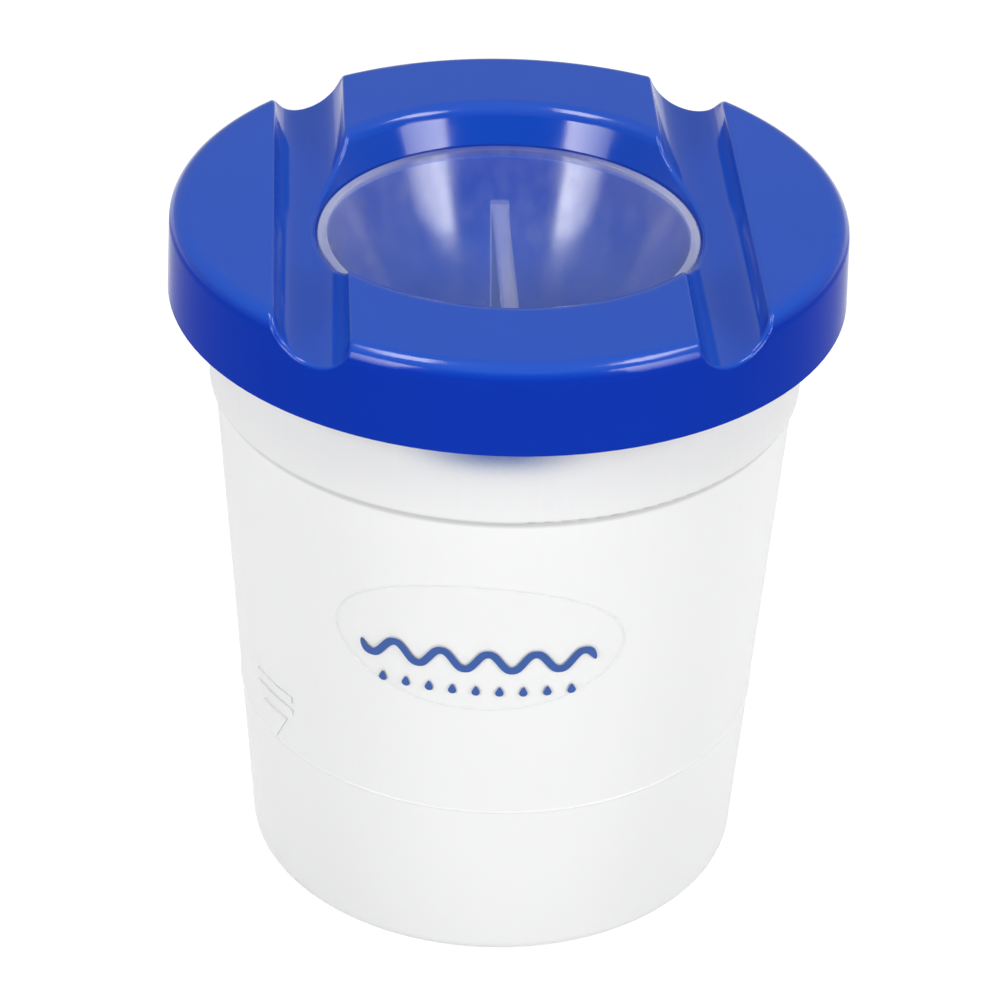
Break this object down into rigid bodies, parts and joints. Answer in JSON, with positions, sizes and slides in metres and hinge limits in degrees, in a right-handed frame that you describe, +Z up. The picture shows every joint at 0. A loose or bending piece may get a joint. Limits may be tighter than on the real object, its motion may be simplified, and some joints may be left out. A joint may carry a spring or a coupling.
{
  "type": "brush washer with lid",
  "caption": "Tapered translucent water cup with a snap-over lid that has brush rests, a non-spill funnel and a conical stopper.",
  "frame": {"origin": "centre of the tub's underside, on the surface that it stands on", "axes": "+Z up along the tub's axis; the brush troughs run along Y and the label faces -Y"},
  "size_m": [0.09, 0.09, 0.0983],
  "materials": {
    "natural_plastic": "milky natural polypropylene, satin",
    "blue_plastic": "opaque glossy moulded polypropylene",
    "clear_plastic": "hazy clear polypropylene",
    "clear_film": "clear adhesive film"
  },
  "bodies": {
    "tub": {"tub": "natural_plastic", "label": "clear_film"},
    "lid": {"lid": "blue_plastic"},
    "stopper": {"stopper": "clear_plastic"}
  },
  "joints": [
    {"name": "lid_lift", "type": "slide", "parent": "tub", "child": "lid", "axis": [0, 0, 1], "range_m": [0, 0.045]},
    {"name": "stopper_lift", "type": "slide", "parent": "lid", "child": "stopper", "axis": [0, 0, 1], "range_m": [0, 0.035]}
  ]
}
